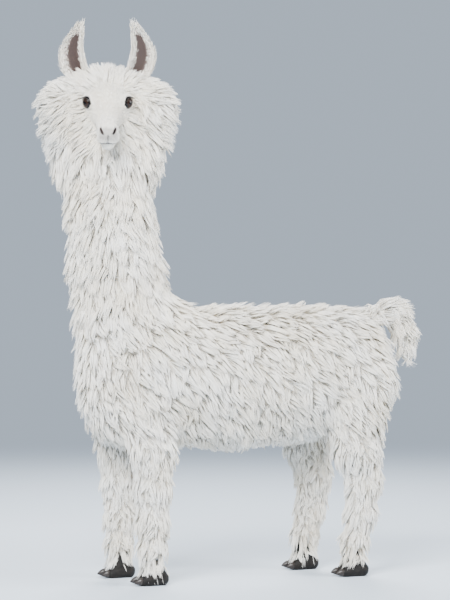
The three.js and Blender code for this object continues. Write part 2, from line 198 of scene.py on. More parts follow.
def skull(f, l, u, rim=1.5):
    """The face and brain case. Left and right are alike, so l counts from the middle outwards."""
    p = (f, l / FACE_BROAD, u / FACE_DEEP)
    return flow(
        16,
        ellipsoid(p, (62, 0, 22), (78, 60, 56)),  # brain case
        ellipsoid(p, (112, 0, 34), (54, 50, 40)),  # forehead
        limb(p, (118, 0, 20), (240, 0, -11), 43, 25, 1.05),  # bridge of the nose
        limb(p, (128, 0, -8), (250, 0, -27), 47, 27, 1.02),  # upper jaw
        limb(p, (64, 0, -50), (236, 0, -62), 38, 17),  # lower jaw
        ellipsoid(p, (262, 0, -21), (35, 31, 29)),  # nose
        ellipsoid(p, (284, 0, -17), (16, 20, 16)),  # nose tip
        ellipsoid(p, (250, 0, -66), (27, 20, 16)),  # chin
        ellipsoid(p, (120, 44 + rim, 28), (30 + rim, 26 + rim, 23 + rim)),  # rim of the eye
        ellipsoid(p, (90, 38, -26), (56, 28, 43)),  # chewing muscle
        ellipsoid(p, (267, 13, -40), (28, 20, 20)),  # upper lip
    )


def ruff(f, l, u, reach=40):
    """The collar of long wool round the face, with l as in the skull."""
    p = (f, l, u)
    return flow(
        reach,
        limb(p, (18, 130, -22), (66, 76, -196), 98, 112),  # cheek
        ellipsoid(p, (40, 0, 60), (62, 110, 47)),  # topknot
        ellipsoid(p, (34, 0, -92), (74, 100, 84)),  # throat
        ellipsoid(p, (-30, 0, -6), (64, 168, 102)),  # back of the head
    )


def head_outline(f, l, u):
    l = np.abs(l)
    return soften(skull(f, l, u), ruff(f, l, u), 44)


def outline(x, y, z):
    """How far a place is outside the tips of the coat."""
    return soften(body_outline((x, y, z)), head_outline(*in_head(x, y, z)), 40)


# -------------------- skin
# One skin over trunk, neck, tail, legs, head and ears. Where wool grows it stands for the dense
# felted underwool, and on the face and the ears for the hide itself. The body's skin is the
# outline drawn in by the depth of the wool. The head's has lids, nostrils, lips and jaws.

WOOL_DEPTH = 28  # on the trunk, the neck and the ruff
LEG_WOOL_DEPTH = 20
TAIL_WOOL_DEPTH = 22
FACE_HAIR_DEPTH = 3


def smooth(low, high, value):
    """0 at low, 1 at high and beyond. Low may be the greater of the two."""
    t = np.clip((value - low) / (high - low), 0, 1)
    return t * t * (3 - 2 * t)


def body_skin(x, y, z):
    legs = 1 - smooth(370, 560, z)
    tail = smooth(470, 540, x)
    depth = WOOL_DEPTH + (LEG_WOOL_DEPTH - WOOL_DEPTH) * legs
    depth = depth + (TAIL_WOOL_DEPTH - depth) * tail
    return body_outline((x, y, z)) + depth


EYE_OUT = np.array([0.64, 0.76, 0.1]) / np.linalg.norm([0.64, 0.76, 0.1])
eye_rise = np.cross(EYE_OUT, np.cross((0, 0, 1.0), EYE_OUT))
eye_rise /= np.linalg.norm(eye_rise)
eye_across = np.cross(eye_rise, EYE_OUT)  # towards the nose
LID = 3.4  # thickness of an eyelid
LID_HALF = 24.0  # half the length of the opening between the lids
LID_BEND = 2.7  # how blunt its corners are
LID_TILT = 0.08  # its fall towards the nose
MOUTH_U = -52  # height of the mouth line at the middle of the lip
NOSTRIL = (288, 21, -11)


def eye_place(f, l, u):
    """Places in an eye's own axes: towards the nose, up, and out of the head."""
    q = (f - EYE[0], l - EYE[1], u - EYE[2])
    return tuple(sum(a * b for a, b in zip(q, axis)) for axis in (eye_across, eye_rise, EYE_OUT))


def lid_opening(across, rise):
    """The almond between the lids, below zero inside it. The nose's corner is drawn down."""
    middle = rise + 0.5 + LID_TILT * across
    half = np.where(middle > 0, 18.0, 16.5) * (1 - np.abs(across / LID_HALF) ** LID_BEND)
    return (np.abs(middle) - half) * 0.8


def from_lids(f, l, u, reach=34):
    """How far a place round an eye is outside the opening of its lids, and elsewhere a lot."""
    across, rise, out = eye_place(f, np.abs(l), u)
    near = (out > 0) & (np.hypot(across, rise) < reach)
    return np.where(near, lid_opening(across, rise), 99)


def nostril(f, side, u):
    """How far a place is outside the nostril, a slit that leans outwards at its top."""
    return ellipsoid((f, side - (u - NOSTRIL[2]) * 0.55, u), NOSTRIL, (15, 3.0, 8.5))


def mouth_height(f):
    """The height of the line between the lips, which turns up a little at its corners."""
    return MOUTH_U + 10 * smooth(250, 190, f) - 3 * smooth(255, 295, f)


def head_skin(f, l, u):
    """The hide of the head, with cheekbones, brows, lids, nostrils and the lines of the mouth."""
    side = np.abs(l)
    p = (f, side, u)
    across, rise, out = eye = eye_place(*p)
    face = d = skull(*p, 0.0) + FACE_HAIR_DEPTH
    for form, reach in (
        (limb(p, (98, 58, -2), (172, 36, -12), 8, 5), 26),  # cheekbone
        (ellipsoid(p, (NOSTRIL[0] - 5, NOSTRIL[1] + 1, NOSTRIL[2]), (13, 8, 11)), 8),
        (ruff(*p, 90) + WOOL_DEPTH, 44),
        (np.sqrt(across**2 + rise**2 + out**2) - EYE_RADIUS - LID, 9),
        (limb(eye, (-15, 17, 9), (12, 18, 9), 6, 5), 14),  # brow
    ):
        d = soften(d, form, reach)
    d = -soften(-d, -head_outline(f, l, u) - 2.0, 5)
    mouth = np.sqrt((u - mouth_height(f)) ** 2 + np.minimum(face + 1.6, 0) ** 2) - 2.8
    for form, reach in (
        (np.maximum(lid_opening(across, rise), 4 - out), 2.0),
        (nostril(*p), 2.5),
        (ellipsoid(p, (300, 0, -37), (17, 1.3, 16)), 2.5),  # cleft of the upper lip
        (np.maximum(mouth, 196 - f), 2.5),
    ):
        d = -soften(-d, form, reach)
    return d


def markings(places):
    """How dark the skin is, 0 to 1: nostrils, lips and the edges of the eyelids."""
    f, l, u = in_head(*places.T)
    side = np.abs(l)
    lid = 1 - smooth(1.5, 5.5, np.abs(from_lids(f, l, u)))
    slit = 1 - smooth(1, 7, nostril(f, side, u))
    lips = (1 - smooth(1.8, 5.5, np.abs(u - mouth_height(f)))) * smooth(190, 205, f) * 0.9
    cleft = smooth(3.2, 1.0, side) * smooth(284, 290, f)
    cleft = cleft * smooth(-56, -50, u) * smooth(-16, -24, u)
    nose = 0.45 * smooth(276, 292, f) * (1 - smooth(12, 30, np.abs(u + 20)))
    return np.clip(np.maximum.reduce([lid, slit, lips, cleft, nose]), 0, 1)


def in_face(places):
    """True where short hair grows: in front of the ruff, where the outline is near the skin."""
    f, l, u = in_head(*places.T)
    return (f > 45) & (u > -130) & (np.abs(l) < 110) & (-outline(*places.T) < 13)


def axis_steps(*runs):
    """Places along an axis. Each run is (from, to, step) and starts where the last one ended."""
    places = [np.arange(low, high, step) for low, high, step in runs]
    return np.concatenate([*places, [runs[-1][1]]]).astype(np.float32)


def net(field, xs, ys, zs):
    """A closed surface where a field crosses zero: a point in each cell of the grid that it
    passes through, and a quad round each edge of the grid that it cuts."""
    axes = (xs, ys, zs)
    values = field(xs[:, None, None], ys[None, :, None], zs[None, None, :])
    values = np.broadcast_to(values, tuple(map(len, axes)))
    cells = tuple(len(a) - 1 for a in axes)
    total = np.zeros((*cells, 3), np.float32)
    count = np.zeros(cells, np.float32)
    crossings = []
    for k in range(3):
        low = np.moveaxis(values, k, 0)[:-1]
        high = np.moveaxis(values, k, 0)[1:]
        hit = np.argwhere((low < 0) != (high < 0))
        index = np.insert(hit[:, 1:], k, hit[:, 0], axis=1)
        others = [a for a in range(3) if a != k]
        keep = np.all([(index[:, a] > 0) & (index[:, a] < cells[a]) for a in others], axis=0)
        index = index[keep]
        here = values[tuple(index.T)]
        ahead = index.copy()
        ahead[:, k] += 1
        there = values[tuple(ahead.T)]
        place = np.stack([axes[i][index[:, i]] for i in range(3)], 1)
        place[:, k] += (axes[k][ahead[:, k]] - place[:, k]) * (here / (here - there))
        round_edge = []
        for da, db in ((1, 1), (0, 1), (0, 0), (1, 0)):
            cell = index.copy()
            cell[:, others[0]] -= da
            cell[:, others[1]] -= db
            np.add.at(total, tuple(cell.T), place)
            np.add.at(count, tuple(cell.T), 1)
            round_edge.append(np.ravel_multi_index(tuple(cell.T), cells))
        quads = np.stack(round_edge, 1)
        outward = (here < 0) == (k != 1)
        quads[~outward] = quads[~outward, ::-1]
        crossings.append(quads)
    used, faces = np.unique(np.concatenate(crossings), return_inverse=True)
    points = total.reshape(-1, 3)[used] / count.ravel()[used, None]
    return points.astype(float), faces.reshape(-1, 4).tolist()


def into_scene(name, data):
    made = bpy.data.objects.new(name, data)
    bpy.context.scene.collection.objects.link(made)
    return made


def mesh_object(name, points, faces):
    mesh = bpy.data.meshes.new(name)
    mesh.from_pydata(points.tolist(), [], faces)
    mesh.validate()
    mesh.shade_smooth()
    return into_scene(name, mesh)


BODY_STEP = 10
RUFF_STEP = 6
FACE_STEP = 2
body_points, body_faces = net(
    body_skin,
    axis_steps((-640, 640, BODY_STEP)),
    axis_steps((-240, 240, BODY_STEP)),
    axis_steps((40, 1660, BODY_STEP)),
)
head_points, head_faces = net(
    head_skin,
    axis_steps((-114, 66, RUFF_STEP), (66, 310, FACE_STEP)),
    axis_steps((-222, -90, RUFF_STEP), (-90, 90, FACE_STEP), (90, 222, RUFF_STEP)),
    axis_steps((-338, -110, RUFF_STEP), (-110, 70, FACE_STEP), (70, 124, RUFF_STEP)),
)

# -------------------- ears
# Long banana-shaped ears, each a cupped leaf of gristle with hide on both sides. Their tips lean
# in over the crown. They are part of the skin.

EAR_LENGTH = 210
EAR_HALF_WIDTH = 45
EAR_DEPTH = 30  # of its rounded back at the root
EAR_ROOT = (24, 76, 48)  # of the left one in head coordinates
EAR_INSET = 1.8  # of the hide below the tips of the ear's hair
EAR_HIDE_LENGTH = EAR_LENGTH - 1.5 * EAR_INSET


def turning(axis, angle):
    """The matrix that turns by an angle about axis 0, 1 or 2."""
    c, s = math.cos(angle), math.sin(angle)
    i, j = [(1, 2), (2, 0), (0, 1)][axis]
    m = np.eye(3)
    m[i, i], m[i, j], m[j, i], m[j, j] = c, -s, s, c
    return m


def ear_form(side, t):
    """Half width, bow to the side, and depths of the back and of the cup, from root to tip."""
    wide = EAR_HALF_WIDTH * np.abs(np.sin(np.pi * (0.18 + 0.8 * t))) ** 0.75
    bow = 30 * np.sin(np.pi * 1.05 * t) - 44 * np.maximum(t - 0.55, 0) ** 1.3
    depth = EAR_DEPTH * (1 - 0.62 * t)
    return wide, side * bow, depth, depth * np.clip(7 * t - 1, -0.7, 0.62)


def ear_frame(side):
    """The root of an ear in head coordinates, and how the ear stands on it."""
    stand = turning(1, -0.27) @ turning(0, -side * 0.13) @ turning(2, side * 0.45 - np.pi / 2)
    return np.array([EAR_ROOT[0], side * EAR_ROOT[1], EAR_ROOT[2]]), stand


def ear_surface(side, t, angle):
    """Head coordinates of a place on an ear, t from root to tip, angle round it from its back."""
    wide, bow, depth, cup = ear_form(side, t)
    back = np.cos(angle)
    across = np.maximum(wide - EAR_INSET, 0.5) * np.sin(angle) - bow
    behind = np.where(back > 0, (depth - EAR_INSET) * back, -(cup + EAR_INSET) * back)
    root, stand = ear_frame(side)
    return np.stack([across, -behind, EAR_HIDE_LENGTH * t], -1) @ stand.T + root


def ear_mesh(side, rings=44, around=40):
    t = np.linspace(0, 1, rings)[:, None] + np.zeros(around)
    angle = np.linspace(0, 2 * np.pi, around, endpoint=False) + np.zeros((rings, 1))
    points = ear_surface(side, t, angle).reshape(-1, 3)
    faces = []
    for ring in range(rings - 1):
        for k in range(around):
            a, b = ring * around + k, ring * around + (k + 1) % around
            faces.append([a, b, b + around, a + around])
    faces.append(list(range(around))[::-1])
    faces.append([(rings - 1) * around + k for k in range(around)])
    return points, faces


skin = mesh_object("skin", metres(body_points), body_faces)
for points, faces in ((head_points, head_faces), ear_mesh(1), ear_mesh(-1)):
    other = mesh_object("joined", metres(from_head(points)), faces)
    join = skin.modifiers.new("join", "BOOLEAN")
    join.operation, join.solver, join.object = "UNION", "EXACT", other
    bpy.context.view_layer.objects.active = skin
    bpy.ops.object.modifier_apply(modifier=join.name)
    bpy.data.objects.remove(other)

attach(skin, "root")
leg_nodes = [f"leg_{name}" for name in FEET]
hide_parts("trunk", "neck", "tail", "head", "ear_left", "ear_right", *leg_nodes)


def linear(hex_colour):
    """An sRGB hex colour as the linear values that the shader takes."""
    values = [int(hex_colour[k : k + 2], 16) / 255 for k in (1, 3, 5)]
    return [v / 12.92 if v <= 0.04045 else ((v + 0.055) / 1.055) ** 2.4 for v in values] + [1]


def material(name):
    """A new material and its node tree, without nodes."""
    made = bpy.data.materials.new(name)
    made.use_nodes = True
    made.node_tree.nodes.clear()
    return made, made.node_tree


def add(tree, kind, settings=None, **links):
    """A shader node with its settings, and its inputs linked or set. In an input's name an
    underscore stands for a space, and a leading one for a number. A node given for an input
    stands for its first output. Stops are those of a colour ramp."""
    node = tree.nodes.new(f"ShaderNode{kind}")
    for name, value in (settings or {}).items():
        if name != "stops":
            setattr(node, name, value)
            continue
        while len(node.color_ramp.elements) < len(value):
            node.color_ramp.elements.new(0.5)
        for element, (place, colour) in zip(node.color_ramp.elements, value):
            element.position, element.color = place, linear(colour)
    for name, value in links.items():
        socket = node.inputs[int(name[1:]) if name[0] == "_" else name.replace("_", " ")]
        if isinstance(value, bpy.types.Node):
            value = value.outputs[0]
        if isinstance(value, bpy.types.NodeSocket):
            tree.links.new(value, socket)
        else:
            socket.default_value = value
    return node


MIX = {"data_type": "RGBA"}
MULTIPLY = {"data_type": "RGBA", "blend_type": "MULTIPLY"}


def give(mesh, name, values):
    """A value for each point of a mesh, for its material to read."""
    layer = mesh.attributes.new(name, "FLOAT", "POINT")
    layer.data.foreach_set("value", np.asarray(values, np.float32).ravel())


def points_of(mesh):
    points = np.empty(len(mesh.vertices) * 3, np.float32)
    mesh.vertices.foreach_get("co", points)
    return millimetres(points.reshape(-1, 3))


skin_points = points_of(skin.data)
give(skin.data, "dark", markings(skin_points) * in_face(skin_points))

# How deep in an ear's cup each point of the skin is, 0 on the ear's back and on the head.
cup_share = np.zeros(len(skin_points))
for side, _ in LEFT_AND_RIGHT:
    root, stand = ear_frame(side)
    x, y, z = ((np.stack(in_head(*skin_points.T), 1) - root) @ stand).T
    t = np.clip(z / EAR_HIDE_LENGTH, 0, 1)
    wide, bow, depth, cup = ear_form(side, t)
    bulge = np.sqrt(np.maximum(1 - ((x + bow) / (wide - EAR_INSET)) ** 2, 0))  # 0 at the edge
    from_cup = np.abs(y + (cup + EAR_INSET) * bulge)
    on_cup = (from_cup < 1.5) & (from_cup < np.abs(y + (depth - EAR_INSET) * bulge))
    deep = smooth(0.45, 0.95, bulge) * smooth(0.08, 0.22, t) * smooth(0.97, 0.8, t)
    cup_share = np.maximum(cup_share, on_cup * deep)
give(skin.data, "cup", cup_share)

# Between the locks one sees matted cream underwool. At nostrils, lips and lids the hide is bare
# and dark, and in the cup of the ear thin and pink, darkened by painted shade where it deepens.
MATS_PER_METRE = 160.0  # each about 6 mm across
MAT_RELIEF = 0.002  # metres
LIGHT_REACH = (0.012, 0.010, 0.008)  # metres that red, green and blue light go into wool

hide, tree = material("hide_and_underwool")
place = add(tree, "TexCoord").outputs["Object"]
matted = add(tree, "TexNoise", Vector=place, Scale=MATS_PER_METRE, Detail=4.0)
in_cup, bare = (
    add(tree, "Attribute", {"attribute_name": name}).outputs["Fac"] for name in ("cup", "dark")
)
underwool = add(tree, "ValToRGB", {"stops": [(0.3, "#e9e2d5"), (0.7, "#faf7f0")]}, Fac=matted)
# Painted shade in the ear: pink hide near the cup's edges, near black where the cup is deepest.
pink_to_painted_shade = {"stops": [(0.2, "#c4a99d"), (0.6, "#8a6a60"), (1.0, "#33241f")]}
thin_hide = add(tree, "ValToRGB", pink_to_painted_shade, Fac=in_cup)
coloured = add(tree, "Mix", MIX, _0=in_cup, _6=underwool, _7=thin_hide).outputs[2]
coloured = add(tree, "Mix", MIX, _0=bare, _6=coloured, _7=linear("#2e2523")).outputs[2]
surface = add(
    tree,
    "BsdfPrincipled",
    Normal=add(tree, "Bump", Height=matted, Strength=0.5, Distance=MAT_RELIEF),
    Base_Color=coloured,
    Roughness=0.7,
    Subsurface_Weight=0.15,
    Subsurface_Radius=LIGHT_REACH,
    Subsurface_Scale=0.5,
)
add(tree, "OutputMaterial", Surface=surface)
skin.data.materials.clear()
skin.data.materials.append(hide)

# -------------------- eyes
# Large dark eyes, glass in a museum model: a brown-black iris, a wide pupil that lies level and a
# clear dome over both, set behind the lids.

CORNEA = 1.6  # how far the clear dome stands out of the ball
PUPIL_HALF = (11.0, 5.0)  # across and up
IRIS_RADIUS = 17.0
THREADS_PER_RADIAN = 26.0  # 0.65 mm apart at the iris's edge

# The glass gives a sharp highlight over an iris of fine brown threads, dark at its edge.
glass, tree = material("eye_glass")
spoke, rim, pupil = (
    add(tree, "Attribute", {"attribute_name": name}).outputs["Fac"]
    for name in ("spoke", "rim", "pupil")
)
spoke = add(tree, "CombineXYZ", X=spoke, Y=rim)
spoke = add(tree, "Mapping", Vector=spoke, Scale=(THREADS_PER_RADIAN, 1.5, 1.0))
threads = add(tree, "TexNoise", Vector=spoke, Scale=1.0, Detail=3.0)
iris = add(tree, "ValToRGB", {"stops": [(0.3, "#120a07"), (0.75, "#2f1c11")]}, Fac=threads)
around = add(tree, "ValToRGB", {"stops": [(0.8, "#ffffff"), (1.0, "#1a100c")]}, Fac=rim)
iris = add(tree, "Mix", MULTIPLY, _0=1.0, _6=iris, _7=around).outputs[2]
outside = add(tree, "ValToRGB", {"stops": [(0.8, "#000000"), (1.0, "#ffffff")]}, Fac=pupil)
iris = add(tree, "Mix", MIX, _0=outside, _6=linear("#030202"), _7=iris).outputs[2]
surface = add(
    tree,
    "BsdfPrincipled",
    Base_Color=iris,
    Roughness=0.1,
    Specular_IOR_Level=0.1,
    Coat_Weight=0.35,
    Coat_Roughness=0.02,
)
add(tree, "OutputMaterial", Surface=surface)


def ball(rings, spokes):
    """The points of a ball from pole to pole, each as its angle from the first pole and its turn
    round the axis, and the faces over them."""
    polar = np.repeat(np.linspace(0, np.pi, rings + 1)[1:-1], spokes)
    spin = np.tile(np.linspace(0, 2 * np.pi, spokes, endpoint=False), rings - 1)
    faces = [[0, 1 + k, 1 + (k + 1) % spokes] for k in range(spokes)]
    for start in range(1, 1 + (rings - 2) * spokes, spokes):
        for k in range(spokes):
            a, b = start + k, start + (k + 1) % spokes
            faces.append([b, a, a + spokes, b + spokes])
    last = 1 + (rings - 2) * spokes
    faces += [[last + spokes, last + (k + 1) % spokes, last + k] for k in range(spokes)]
    return np.concatenate([[0], polar, [np.pi]]), np.concatenate([[0], spin, [0]]), faces


def from_eye(side, across, rise, out):
    """Millimetres from places in an eye's own axes."""
    places = EYE + across[..., None] * eye_across + rise[..., None] * eye_rise
    places = places + out[..., None] * EYE_OUT
    return from_head(places * (1, side, 1))


for side, name in LEFT_AND_RIGHT:
    polar, spin, faces = ball(rings=60, spokes=72)
    across = EYE_RADIUS * np.sin(polar) * np.cos(spin)
    rise = EYE_RADIUS * np.sin(polar) * np.sin(spin)
    out = EYE_RADIUS * np.cos(polar) + CORNEA * smooth(0.75, 0.0, polar)
    if side > 0:
        faces = [face[::-1] for face in faces]
    eye = mesh_object(f"eyeball_{name}", metres(from_eye(side, across, rise, out)), faces)
    give(eye.data, "pupil", np.hypot(across / PUPIL_HALF[0], rise / PUPIL_HALF[1]) + 2 * (out < 0))
    give(eye.data, "rim", np.hypot(across, rise) / IRIS_RADIUS + 2 * (out < 0))
    give(eye.data, "spoke", np.abs(np.arctan2(rise, across)))
    eye.data.materials.append(glass)
    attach(eye, "root")
    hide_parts(f"eye_{name}")

# -------------------- feet
# Two toes to a foot, dark leathery skin over a soft pad, flat where they stand, with creases
# over the joint. The wool of the leg hangs over their tops.

TOE_SPREAD = 21  # from the foot's middle to the middle of a toe's tip
FOOT_TOP = 84  # up to here the wool of the leg hangs free over the foot
FOOT_STEP = 2


def feet_outline(x, y, z, foot):
    """The toes and the joint above them, before the wool."""
    middle, side, _ = foot
    x, y = x - middle, y - side * TRACK
    p = (x, np.abs(y), z)
    pad = limb(p, (24, 15, 21), (-34, TOE_SPREAD, 12), 25, 16.5)
    toe = soften(pad, limb(p, (8, 11, 54), (-22, TOE_SPREAD, 20), 24, 16.5), 14)
    cleft = 4.5 * smooth(58, 20, z) * smooth(20, -10, x) + 0.4 - np.abs(y)
    d = -soften(-toe, -cleft, 5)
    d = soften(d, limb((x, y, z), (-4, 0, 96), (0, 0, 52), 26, 30), 18)
    crease = np.sin((z - 0.35 * x) / 2.6) * smooth(14, 26, z) * smooth(60, 44, z)
    return np.maximum(d + 0.45 * crease, -z)


# Near-black leather, dull, with fine creases darkened by painted shade, and faint brown blotches.
BLOTCHES_PER_METRE = 60.0  # each about 17 mm across
CREASES_PER_METRE = 260.0  # about 4 mm apart
CREASE_DEPTH = 0.0008

sole, tree = material("dark_leathery_skin")
place = add(tree, "TexCoord").outputs["Object"]
blotches = add(tree, "TexNoise", Vector=place, Scale=BLOTCHES_PER_METRE, Detail=4.0)
to_edge = {"feature": "DISTANCE_TO_EDGE"}
cells = add(tree, "TexVoronoi", to_edge, Vector=place, Scale=CREASES_PER_METRE)
crease_lines_and_shade = add(tree, "ValToRGB", {"stops": [(0.0, "#000000"), (0.25, "#ffffff")]}, Fac=cells)
tone = add(tree, "ValToRGB", {"stops": [(0.3, "#100e0d"), (0.7, "#231f1c")]}, Fac=blotches)
# Painted shade: the crease lines take up to about a third off the leather's colour.
leather = add(tree, "Mix", MULTIPLY, _0=0.35, _6=tone, _7=crease_lines_and_shade).outputs[2]
bump = add(tree, "Bump", Height=crease_lines_and_shade, Strength=0.5, Distance=CREASE_DEPTH)
surface = add(
    tree, "BsdfPrincipled", Base_Color=leather, Roughness=0.58, Specular_IOR_Level=0.2, Normal=bump
)
add(tree, "OutputMaterial", Surface=surface)

for name, foot in FEET.items():
    middle, side, _ = foot
    points, faces = net(
        lambda x, y, z: np.maximum(feet_outline(x, y, z, foot), z - FOOT_TOP),
        axis_steps((middle - 62, middle + 58, FOOT_STEP)),
        axis_steps((side * TRACK - 52, side * TRACK + 52, FOOT_STEP)),
        axis_steps((-5, 92, FOOT_STEP)),
    )
    points[:, 2] = np.maximum(points[:, 2], 0)
    piece = mesh_object(f"toes_{name}", metres(points), faces)
    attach(piece, "root")
    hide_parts(f"toe_{name}_inner", f"toe_{name}_outer")
    piece.data.materials.append(sole)

# -------------------- nails
# A horny nail at the front of each toe, like a claw filed blunt: black-brown, ridged along its
# length, its root in the skin of the toe.

NAIL_HALF_LENGTH = 23  # most of the root is hidden
NAIL_HALF_WIDTH = 11
HORN_STREAKS = (30.0, 700.0, 700.0)  # to the metre: 33 mm long and 1.4 mm apart
STREAK_DEPTH = 0.0004

polar, spin, nail_faces = ball(rings=30, spokes=36)
ridges = 1 + 0.012 * np.cos(spin * 9) + 0.008 * np.cos(spin * 14 + 1)
tipward = np.cos(polar)  # 1 at the tip, -1 at the root
narrow = NAIL_HALF_WIDTH * (1 - 0.55 * np.maximum(tipward, 0) ** 1.5)
nail = np.stack(
    [
        -NAIL_HALF_LENGTH * tipward,
        narrow * (np.sin(polar) * np.cos(spin) * ridges),
        1.15 * narrow * (np.sin(polar) * np.sin(spin) * ridges) - 4 * tipward**2,
    ],
    1,
)
points, faces = [], []
for middle, side, _ in FEET.values():
    for s in (1, -1):
        start = len(points) * len(nail)
        faces += [[start + k for k in face[::-1]] for face in nail_faces]
        points.append(nail + (middle - 46, side * TRACK + s * (TOE_SPREAD + 2), 14.5))
nails = mesh_object("nails", metres(np.concatenate(points)), faces)

# Polished horn: half dull, with brown streaks that run to the tip.
horn, tree = material("black_horn")
place = add(tree, "TexCoord").outputs["Object"]
place = add(tree, "Mapping", Vector=place, Scale=HORN_STREAKS)
streaks = add(tree, "TexNoise", Vector=place, Scale=1.0, Detail=3.0)
streaked = add(tree, "ValToRGB", {"stops": [(0.3, "#0f0c0b"), (0.75, "#3a302a")]}, Fac=streaks)
bump = add(tree, "Bump", Height=streaks, Strength=0.3, Distance=STREAK_DEPTH)
surface = add(tree, "BsdfPrincipled", Base_Color=streaked, Roughness=0.36, Normal=bump)
add(tree, "OutputMaterial", Surface=surface)
nails.data.materials.append(horn)
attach(nails, "root")
nail_nodes = [f"nail_{name}_{which}" for name in FEET for which in ("inner", "outer")]
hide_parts(*nail_nodes)

# -------------------- coat
# Long white wool that hangs in pointed locks from neck, ruff, trunk, legs and tail, and short
# hair on face and ears. A lock is a clump of tapered three-sided strands whose tips draw
# together. Strands follow the lie of the coat and end on the outline, never outside it.

# Washed white llama wool: matt, with painted shade at the roots, creamier and darker where the
# strands crowd and shadow one another, brightest at the tips. Fine fibres run along each strand.
DUST_PER_METRE = 7.0  # patches about 140 mm across
FIBRES = (9.0, 0.8, 60.0)  # across a strand, 0.4 mm apart, along it, and from one to the next
FIBRE_RELIEF = 0.0008

wool, tree = material("white_wool")
place = add(tree, "TexCoord").outputs["Object"]
patches = add(tree, "TexNoise", Vector=place, Scale=DUST_PER_METRE, Detail=3.0)
along, across, tone, bare = (
    add(tree, "Attribute", {"attribute_name": name}).outputs["Fac"]
    for name in ("along", "across", "tone", "dark")
)
# Painted shade: each strand darkens from its tip towards its root, where the locks shadow it.
root_shade_to_tip = {"stops": [(0.0, "#f1ebdf"), (0.35, "#f9f6ee"), (1.0, "#fffefc")]}
white = add(tree, "ValToRGB", root_shade_to_tip, Fac=along)
cream = add(tree, "ValToRGB", {"stops": [(0.35, "#ffffff"), (0.7, "#f3ebdb")]}, Fac=patches)
shade = add(tree, "ValToRGB", {"stops": [(0.0, "#eee9de"), (1.0, "#ffffff")]}, Fac=tone)
coloured = add(tree, "Mix", MULTIPLY, _0=0.6, _6=white, _7=cream).outputs[2]
coloured = add(tree, "Mix", MULTIPLY, _0=0.7, _6=coloured, _7=shade).outputs[2]
coloured = add(tree, "Mix", MIX, _0=bare, _6=coloured, _7=linear("#4a3c38")).outputs[2]
fibre = add(tree, "CombineXYZ", X=across, Y=along, Z=tone)
fibre = add(tree, "Mapping", Vector=fibre, Scale=FIBRES)
fine = add(tree, "TexNoise", Vector=fibre, Scale=1.0, Detail=2.0)
surface = add(
    tree,
    "BsdfPrincipled",
    Normal=add(tree, "Bump", Height=fine, Strength=0.5, Distance=FIBRE_RELIEF),
    Base_Color=coloured,
    Roughness=0.72,
    Sheen_Weight=0.25,
    Sheen_Roughness=0.5,
    Subsurface_Weight=0.2,
    Subsurface_Radius=LIGHT_REACH,
    Subsurface_Scale=0.5,
)
add(tree, "OutputMaterial", Surface=surface)


def skin_depth(x, y, z):
    """How far a place is outside the skin."""
    return soften(body_skin(x, y, z), head_skin(*in_head(x, y, z)), 20)


def skin_and_feet(x, y, z):
    d = skin_depth(x, y, z)
    for foot in FEET.values():
        d = np.minimum(d, feet_outline(x, y, z, foot))
    return d


def unit(vectors):
    return vectors / np.maximum(np.linalg.norm(vectors, axis=-1, keepdims=True), 1e-9)


def slope(field, places, step=1.5):
    """Unit vectors that point out of a field."""
    rise = np.empty_like(places)
    for k in range(3):
        ahead, behind = places.copy(), places.copy()
        ahead[:, k] += step
        behind[:, k] -= step
        rise[:, k] = field(*ahead.T) - field(*behind.T)
    return unit(rise)


def scatter(mesh, wanted):
    """Random places on a mesh's triangles, as many to a unit of area as wanted says."""
    mesh.calc_loop_triangles()
    count = len(mesh.loop_triangles)
    corners = np.empty(count * 3, np.int32)
    mesh.loop_triangles.foreach_get("vertices", corners)
    triangles = points_of(mesh)[corners.reshape(-1, 3)]
    edge_a, edge_b = triangles[:, 1] - triangles[:, 0], triangles[:, 2] - triangles[:, 0]
    area = np.linalg.norm(np.cross(edge_a, edge_b), axis=1) / 2
    weight = area * wanted(triangles.mean(1))
    chosen = rng.choice(count, int(weight.sum()), p=weight / weight.sum())
    a, b = rng.random((2, len(chosen)))
    over = a + b > 1
    a[over], b[over] = 1 - a[over], 1 - b[over]
    return triangles[chosen, 0] + a[:, None] * edge_a[chosen] + b[:, None] * edge_b[chosen]


def in_clumps(places, size):
    """For each place, the number of the place whose clump it belongs to."""
    middles = rng.choice(len(places), max(1, len(places) // size), replace=False)
    tree = kdtree.KDTree(len(middles))
    for k in middles:
        tree.insert(places[k], int(k))
    tree.balance()
    return np.array([tree.find(place)[1] for place in places])


def squared(a, b, low, high):
    """Where each strand lies on its piece's unwrap: a and b brought between 0.01 and 0.99."""
    low, high = np.array(low), np.array(high)
    return 0.01 + 0.98 * np.clip((np.stack([a, b], 1) - low) / (high - low), 0, 1)


TUFT_PATCH = 0.003  # how far one strand reaches on its unwrap
SIDES = 3  # of a strand


